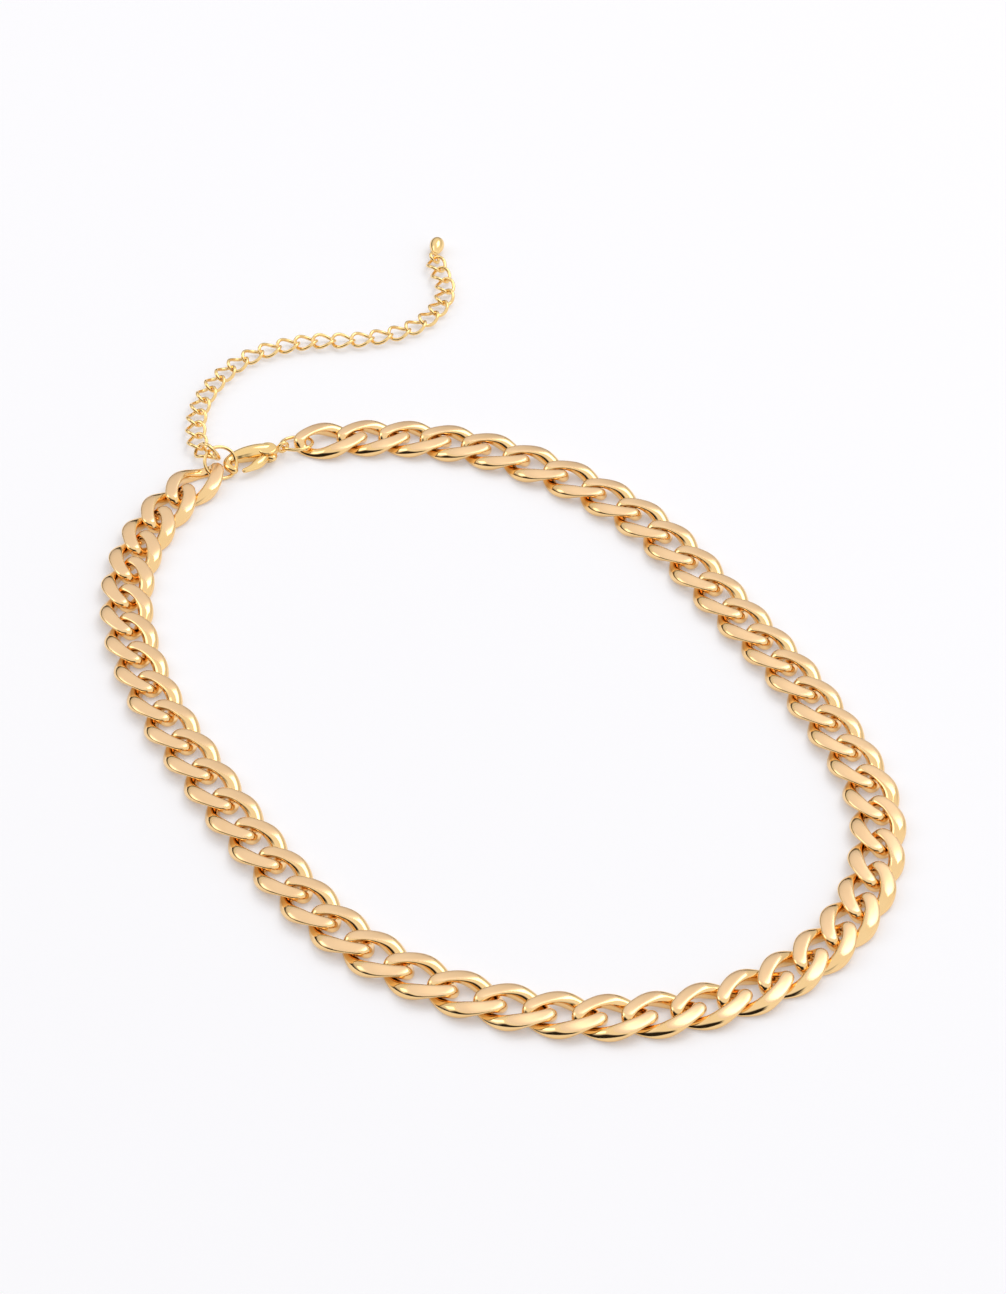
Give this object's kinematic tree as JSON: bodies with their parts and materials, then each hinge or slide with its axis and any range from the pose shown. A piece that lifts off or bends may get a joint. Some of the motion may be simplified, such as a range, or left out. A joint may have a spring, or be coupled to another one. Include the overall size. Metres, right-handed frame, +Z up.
{
  "type": "chain necklace",
  "caption": "Flat curb chain necklace laid in a closed oval, fastened by a sprung claw clasp and carrying a light extension chain that ends in a pear drop.",
  "frame": {"origin": "centre of the whole necklace's outline at the surface it lies on", "axes": "+Z up from that surface; +Y from the front of the neck towards the clasp and the extension; +X to the side, with the extension's root on the -X side"},
  "size_m": [0.1192, 0.1864, 0.0048],
  "materials": {
    "satin_gold": "gold plated, ground flat faces with a satin surface and bright sides",
    "bright_gold": "gold plated, polished",
    "spring_steel": "plain drawn wire"
  },
  "bodies": {
    "link_01": {"link_01": "satin_gold"},
    "link_02": {"link_02": "satin_gold"},
    "link_03": {"link_03": "satin_gold"},
    "link_04": {"link_04": "satin_gold"},
    "link_05": {"link_05": "satin_gold"},
    "link_06": {"link_06": "satin_gold"},
    "link_07": {"link_07": "satin_gold"},
    "link_08": {"link_08": "satin_gold"},
    "link_09": {"link_09": "satin_gold"},
    "link_10": {"link_10": "satin_gold"},
    "link_11": {"link_11": "satin_gold"},
    "link_12": {"link_12": "satin_gold"},
    "link_13": {"link_13": "satin_gold"},
    "link_14": {"link_14": "satin_gold"},
    "link_15": {"link_15": "satin_gold"},
    "link_16": {"link_16": "satin_gold"},
    "link_17": {"link_17": "satin_gold"},
    "link_18": {"link_18": "satin_gold"},
    "link_19": {"link_19": "satin_gold"},
    "link_20": {"link_20": "satin_gold"},
    "link_21": {"link_21": "satin_gold"},
    "link_22": {"link_22": "satin_gold"},
    "link_23": {"link_23": "satin_gold"},
    "link_24": {"link_24": "satin_gold"},
    "link_25": {"link_25": "satin_gold"},
    "link_26": {"link_26": "satin_gold"},
    "link_27": {"link_27": "satin_gold"},
    "link_28": {"link_28": "satin_gold"},
    "link_29": {"link_29": "satin_gold"},
    "link_30": {"link_30": "satin_gold"},
    "link_31": {"link_31": "satin_gold"},
    "link_32": {"link_32": "satin_gold"},
    "link_33": {"link_33": "satin_gold"},
    "link_34": {"link_34": "satin_gold"},
    "link_35": {"link_35": "satin_gold"},
    "link_36": {"link_36": "satin_gold"},
    "link_37": {"link_37": "satin_gold"},
    "link_38": {"link_38": "satin_gold"},
    "link_39": {"link_39": "satin_gold"},
    "link_40": {"link_40": "satin_gold"},
    "link_41": {"link_41": "satin_gold"},
    "link_42": {"link_42": "satin_gold"},
    "link_43": {"link_43": "satin_gold"},
    "link_44": {"link_44": "satin_gold"},
    "link_45": {"link_45": "satin_gold"},
    "link_46": {"link_46": "satin_gold"},
    "link_47": {"link_47": "satin_gold"},
    "link_48": {"link_48": "satin_gold"},
    "link_49": {"link_49": "satin_gold"},
    "link_50": {"link_50": "satin_gold"},
    "link_51": {"link_51": "satin_gold"},
    "clasp_ring": {"clasp_ring": "bright_gold"},
    "clasp_body": {"clasp_body": "bright_gold", "clasp_rivet": "bright_gold", "clasp_spring": "spring_steel"},
    "clasp_lever": {"clasp_lever": "bright_gold"},
    "end_ring": {"end_ring": "bright_gold"},
    "extension_upper": {"extension_upper": "bright_gold"},
    "extension_lower": {"extension_lower": "bright_gold"},
    "drop": {"drop": "bright_gold"}
  },
  "joints": [
    {"name": "joint_25", "type": "hinge", "parent": "link_26", "child": "link_25", "pos_m": [0.03933, -0.08241, 0.0011], "axis": [0, 0, 1], "range_deg": [-3.5, 3.5]},
    {"name": "joint_24", "type": "hinge", "parent": "link_25", "child": "link_24", "pos_m": [0.04432, -0.07831, 0.0011], "axis": [0, 0, 1], "range_deg": [-3, 3]},
    {"name": "joint_23", "type": "hinge", "parent": "link_24", "child": "link_23", "pos_m": [0.04862, -0.07334, 0.0011], "axis": [0, 0, 1], "range_deg": [-4.76, 4.76]},
    {"name": "joint_22", "type": "hinge", "parent": "link_23", "child": "link_22", "pos_m": [0.05193, -0.06781, 0.0011], "axis": [0, 0, 1], "range_deg": [-1.27, 1.27]},
    {"name": "joint_21", "type": "hinge", "parent": "link_22", "child": "link_21", "pos_m": [0.05419, -0.06165, 0.0011], "axis": [0, 0, 1], "range_deg": [-1.6, 1.6]},
    {"name": "joint_20", "type": "hinge", "parent": "link_21", "child": "link_20", "pos_m": [0.05545, -0.05493, 0.0011], "axis": [0, 0, 1], "range_deg": [-2.03, 2.03]},
    {"name": "joint_19", "type": "hinge", "parent": "link_20", "child": "link_19", "pos_m": [0.05563, -0.04821, 0.0011], "axis": [0, 0, 1], "range_deg": [-1.33, 1.33]},
    {"name": "joint_18", "type": "hinge", "parent": "link_19", "child": "link_18", "pos_m": [0.05443, -0.0416, 0.0011], "axis": [0, 0, 1], "range_deg": [-0.042, 0.042]},
    {"name": "joint_17", "type": "hinge", "parent": "link_18", "child": "link_17", "pos_m": [0.05214, -0.03498, 0.0011], "axis": [0, 0, 1], "range_deg": [-2.43, 2.43]},
    {"name": "joint_16", "type": "hinge", "parent": "link_17", "child": "link_16", "pos_m": [0.04953, -0.02851, 0.0011], "axis": [0, 0, 1], "range_deg": [-1.92, 1.92]},
    {"name": "joint_15", "type": "hinge", "parent": "link_16", "child": "link_15", "pos_m": [0.04681, -0.02227, 0.0011], "axis": [0, 0, 1], "range_deg": [-1.64, 1.64]},
    {"name": "joint_14", "type": "hinge", "parent": "link_15", "child": "link_14", "pos_m": [0.04372, -0.01622, 0.0011], "axis": [0, 0, 1], "range_deg": [-2.15, 2.15]},
    {"name": "joint_13", "type": "hinge", "parent": "link_14", "child": "link_13", "pos_m": [0.0404, -0.01023, 0.0011], "axis": [0, 0, 1], "range_deg": [-0.267, 0.267]},
    {"name": "joint_12", "type": "hinge", "parent": "link_13", "child": "link_12", "pos_m": [0.03693, -0.00421, 0.0011], "axis": [0, 0, 1], "range_deg": [-2.79, 2.79]},
    {"name": "joint_11", "type": "hinge", "parent": "link_12", "child": "link_11", "pos_m": [0.03348, 0.00206, 0.0011], "axis": [0, 0, 1], "range_deg": [-2.74, 2.74]},
    {"name": "joint_10", "type": "hinge", "parent": "link_11", "child": "link_10", "pos_m": [0.02994, 0.00846, 0.0011], "axis": [0, 0, 1], "range_deg": [-1.06, 1.06]},
    {"name": "joint_09", "type": "hinge", "parent": "link_10", "child": "link_09", "pos_m": [0.02605, 0.0146, 0.0011], "axis": [0, 0, 1], "range_deg": [-1.41, 1.41]},
    {"name": "joint_08", "type": "hinge", "parent": "link_09", "child": "link_08", "pos_m": [0.02153, 0.02009, 0.0011], "axis": [0, 0, 1], "range_deg": [-2.93, 2.93]},
    {"name": "joint_07", "type": "hinge", "parent": "link_08", "child": "link_07", "pos_m": [0.0162, 0.02502, 0.0011], "axis": [0, 0, 1], "range_deg": [-1.1, 1.1]},
    {"name": "joint_06", "type": "hinge", "parent": "link_07", "child": "link_06", "pos_m": [0.01023, 0.02952, 0.0011], "axis": [0, 0, 1], "range_deg": [-2.98, 2.98]},
    {"name": "joint_05", "type": "hinge", "parent": "link_06", "child": "link_05", "pos_m": [0.00392, 0.03331, 0.0011], "axis": [0, 0, 1], "range_deg": [-0.87, 0.87]},
    {"name": "joint_04", "type": "hinge", "parent": "link_05", "child": "link_04", "pos_m": [-0.00247, 0.03609, 0.0011], "axis": [0, 0, 1], "range_deg": [-0.23, 0.23]},
    {"name": "joint_03", "type": "hinge", "parent": "link_04", "child": "link_03", "pos_m": [-0.00887, 0.03781, 0.0011], "axis": [0, 0, 1], "range_deg": [-2.48, 2.48]},
    {"name": "joint_02", "type": "hinge", "parent": "link_03", "child": "link_02", "pos_m": [-0.01544, 0.03862, 0.0011], "axis": [0, 0, 1], "range_deg": [-0.232, 0.232]},
    {"name": "joint_01", "type": "hinge", "parent": "link_02", "child": "link_01", "pos_m": [-0.02218, 0.03851, 0.0011], "axis": [0, 0, 1], "range_deg": [-3.21, 3.21]},
    {"name": "joint_26", "type": "hinge", "parent": "link_26", "child": "link_27", "pos_m": [0.03358, -0.08557, 0.0011], "axis": [0, 0, 1], "range_deg": [-3.5, 3.5]},
    {"name": "joint_27", "type": "hinge", "parent": "link_27", "child": "link_28", "pos_m": [0.02714, -0.08785, 0.0011], "axis": [0, 0, 1], "range_deg": [-3.67, 3.67]},
    {"name": "joint_28", "type": "hinge", "parent": "link_28", "child": "link_29", "pos_m": [0.02053, -0.08911, 0.0011], "axis": [0, 0, 1], "range_deg": [-1.9, 1.9]},
    {"name": "joint_29", "type": "hinge", "parent": "link_29", "child": "link_30", "pos_m": [0.0138, -0.08924, 0.0011], "axis": [0, 0, 1], "range_deg": [-1.59, 1.59]},
    {"name": "joint_30", "type": "hinge", "parent": "link_30", "child": "link_31", "pos_m": [0.00691, -0.08834, 0.0011], "axis": [0, 0, 1], "range_deg": [-1.14, 1.14]},
    {"name": "joint_31", "type": "hinge", "parent": "link_31", "child": "link_32", "pos_m": [0.00023, -0.08651, 0.0011], "axis": [0, 0, 1], "range_deg": [-2.48, 2.48]},
    {"name": "joint_32", "type": "hinge", "parent": "link_32", "child": "link_33", "pos_m": [-0.00625, -0.08368, 0.0011], "axis": [0, 0, 1], "range_deg": [-1.06, 1.06]},
    {"name": "joint_33", "type": "hinge", "parent": "link_33", "child": "link_34", "pos_m": [-0.01251, -0.07991, 0.0011], "axis": [0, 0, 1], "range_deg": [-1.88, 1.88]},
    {"name": "joint_34", "type": "hinge", "parent": "link_34", "child": "link_35", "pos_m": [-0.01817, -0.07551, 0.0011], "axis": [0, 0, 1], "range_deg": [-0.23, 0.23]},
    {"name": "joint_35", "type": "hinge", "parent": "link_35", "child": "link_36", "pos_m": [-0.02296, -0.0704, 0.0011], "axis": [0, 0, 1], "range_deg": [-3.39, 3.39]},
    {"name": "joint_36", "type": "hinge", "parent": "link_36", "child": "link_37", "pos_m": [-0.02713, -0.06465, 0.0011], "axis": [0, 0, 1], "range_deg": [-2.99, 2.99]},
    {"name": "joint_37", "type": "hinge", "parent": "link_37", "child": "link_38", "pos_m": [-0.03107, -0.05871, 0.0011], "axis": [0, 0, 1], "range_deg": [-1.2, 1.2]},
    {"name": "joint_38", "type": "hinge", "parent": "link_38", "child": "link_39", "pos_m": [-0.03485, -0.05266, 0.0011], "axis": [0, 0, 1], "range_deg": [-1.56, 1.56]},
    {"name": "joint_39", "type": "hinge", "parent": "link_39", "child": "link_40", "pos_m": [-0.03839, -0.04642, 0.0011], "axis": [0, 0, 1], "range_deg": [-0.87, 0.87]},
    {"name": "joint_40", "type": "hinge", "parent": "link_40", "child": "link_41", "pos_m": [-0.04177, -0.04011, 0.0011], "axis": [0, 0, 1], "range_deg": [-1.74, 1.74]},
    {"name": "joint_41", "type": "hinge", "parent": "link_41", "child": "link_42", "pos_m": [-0.04515, -0.03378, 0.0011], "axis": [0, 0, 1], "range_deg": [-1.77, 1.77]},
    {"name": "joint_42", "type": "hinge", "parent": "link_42", "child": "link_43", "pos_m": [-0.04837, -0.02739, 0.0011], "axis": [0, 0, 1], "range_deg": [-3.2, 3.2]},
    {"name": "joint_43", "type": "hinge", "parent": "link_43", "child": "link_44", "pos_m": [-0.05107, -0.02091, 0.0011], "axis": [0, 0, 1], "range_deg": [-0.83, 0.83]},
    {"name": "joint_44", "type": "hinge", "parent": "link_44", "child": "link_45", "pos_m": [-0.05325, -0.01426, 0.0011], "axis": [0, 0, 1], "range_deg": [-1.6, 1.6]},
    {"name": "joint_45", "type": "hinge", "parent": "link_45", "child": "link_46", "pos_m": [-0.05492, -0.00753, 0.0011], "axis": [0, 0, 1], "range_deg": [-0.29, 0.29]},
    {"name": "joint_46", "type": "hinge", "parent": "link_46", "child": "link_47", "pos_m": [-0.05567, -0.00091, 0.0011], "axis": [0, 0, 1], "range_deg": [-1.16, 1.16]},
    {"name": "joint_47", "type": "hinge", "parent": "link_47", "child": "link_48", "pos_m": [-0.05542, 0.00559, 0.0011], "axis": [0, 0, 1], "range_deg": [-3.08, 3.08]},
    {"name": "joint_48", "type": "hinge", "parent": "link_48", "child": "link_49", "pos_m": [-0.05425, 0.01197, 0.0011], "axis": [0, 0, 1], "range_deg": [-4.01, 4.01]},
    {"name": "joint_49", "type": "hinge", "parent": "link_49", "child": "link_50", "pos_m": [-0.05207, 0.01809, 0.0011], "axis": [0, 0, 1], "range_deg": [-0.52, 0.52]},
    {"name": "joint_50", "type": "hinge", "parent": "link_50", "child": "link_51", "pos_m": [-0.04883, 0.02392, 0.0011], "axis": [0, 0, 1], "range_deg": [-5.34, 5.34]},
    {"name": "clasp_ring_turn", "type": "hinge", "parent": "link_01", "child": "clasp_ring", "pos_m": [-0.03052, 0.03728, 0.0011], "axis": [0, 0, 1], "range_deg": [-4, 4]},
    {"name": "clasp_turn", "type": "hinge", "parent": "clasp_ring", "child": "clasp_body", "pos_m": [-0.03317, 0.03594, 0.00135], "axis": [0, 0, 1], "range_deg": [-4, 4]},
    {"name": "lever_press", "type": "hinge", "parent": "clasp_body", "child": "clasp_lever", "pos_m": [-0.0357, 0.03413, 0.00135], "axis": [0, 0, 1], "range_deg": [-12, 0], "stiffness_Nm_per_rad": 0.003},
    {"name": "end_ring_turn", "type": "hinge", "parent": "link_51", "child": "end_ring", "pos_m": [-0.04369, 0.03064, 0.0011], "axis": [0, 0, 1], "range_deg": [-1, 1]},
    {"name": "extension_swing", "type": "hinge", "parent": "end_ring", "child": "extension_upper", "pos_m": [-0.04467, 0.03279, 0.00105], "axis": [0, 0, 1], "range_deg": [-12, 12]},
    {"name": "extension_bend", "type": "hinge", "parent": "extension_upper", "child": "extension_lower", "pos_m": [-0.03194, 0.06401, 0.00105], "axis": [0, 0, 1], "range_deg": [-12, 12]},
    {"name": "drop_swing", "type": "hinge", "parent": "extension_lower", "child": "drop", "pos_m": [-0.0097, 0.08781, 0.00105], "axis": [0, 0, 1], "range_deg": [-20, 20]}
  ],
  "couplings": [
    {"joint": "joint_23", "follows": "joint_26", "ratio": 1.3547},
    {"joint": "joint_22", "follows": "joint_25", "ratio": -0.35749},
    {"joint": "joint_21", "follows": "joint_24", "ratio": 0.52741},
    {"joint": "joint_20", "follows": "joint_26", "ratio": -0.57513},
    {"joint": "joint_19", "follows": "joint_25", "ratio": 0.37504},
    {"joint": "joint_18", "follows": "joint_24", "ratio": 0.00727},
    {"joint": "joint_17", "follows": "joint_26", "ratio": 0.68783},
    {"joint": "joint_16", "follows": "joint_25", "ratio": -0.54262},
    {"joint": "joint_15", "follows": "joint_24", "ratio": -0.53873},
    {"joint": "joint_14", "follows": "joint_26", "ratio": 0.60883},
    {"joint": "joint_13", "follows": "joint_25", "ratio": -0.0705},
    {"joint": "joint_12", "follows": "joint_24", "ratio": 0.92485},
    {"joint": "joint_11", "follows": "joint_26", "ratio": -0.77705},
    {"joint": "joint_10", "follows": "joint_25", "ratio": -0.29719},
    {"joint": "joint_09", "follows": "joint_24", "ratio": 0.46344},
    {"joint": "joint_08", "follows": "joint_26", "ratio": -0.83026},
    {"joint": "joint_07", "follows": "joint_25", "ratio": -0.30803},
    {"joint": "joint_06", "follows": "joint_24", "ratio": -0.98763},
    {"joint": "joint_05", "follows": "joint_26", "ratio": 0.24164},
    {"joint": "joint_04", "follows": "joint_25", "ratio": 0.06},
    {"joint": "joint_03", "follows": "joint_24", "ratio": -0.82103},
    {"joint": "joint_02", "follows": "joint_26", "ratio": -0.06051},
    {"joint": "joint_01", "follows": "joint_25", "ratio": 0.9116},
    {"joint": "joint_27", "follows": "joint_24", "ratio": 1.2179},
    {"joint": "joint_28", "follows": "joint_25", "ratio": 0.5368},
    {"joint": "joint_29", "follows": "joint_26", "ratio": 0.44873},
    {"joint": "joint_30", "follows": "joint_24", "ratio": 0.37252},
    {"joint": "joint_31", "follows": "joint_25", "ratio": -0.70233},
    {"joint": "joint_32", "follows": "joint_26", "ratio": 0.29662},
    {"joint": "joint_33", "follows": "joint_24", "ratio": 0.6191},
    {"joint": "joint_34", "follows": "joint_25", "ratio": 0.06},
    {"joint": "joint_35", "follows": "joint_26", "ratio": -0.96195},
    {"joint": "joint_36", "follows": "joint_24", "ratio": -0.98954},
    {"joint": "joint_37", "follows": "joint_25", "ratio": 0.33576},
    {"joint": "joint_38", "follows": "joint_26", "ratio": -0.44114},
    {"joint": "joint_39", "follows": "joint_24", "ratio": -0.28388},
    {"joint": "joint_40", "follows": "joint_25", "ratio": 0.49176},
    {"joint": "joint_41", "follows": "joint_26", "ratio": 0.49992},
    {"joint": "joint_42", "follows": "joint_24", "ratio": 1.0591},
    {"joint": "joint_43", "follows": "joint_25", "ratio": 0.23102},
    {"joint": "joint_44", "follows": "joint_26", "ratio": 0.45203},
    {"joint": "joint_45", "follows": "joint_24", "ratio": -0.09},
    {"joint": "joint_46", "follows": "joint_25", "ratio": -0.32441},
    {"joint": "joint_47", "follows": "joint_26", "ratio": 0.87527},
    {"joint": "joint_48", "follows": "joint_24", "ratio": -1.3295},
    {"joint": "joint_49", "follows": "joint_25", "ratio": 0.14219},
    {"joint": "joint_50", "follows": "joint_26", "ratio": -1.5195},
    {"joint": "clasp_ring_turn", "follows": "clasp_turn", "ratio": -0.799},
    {"joint": "end_ring_turn", "follows": "clasp_turn", "ratio": 0.201}
  ]
}
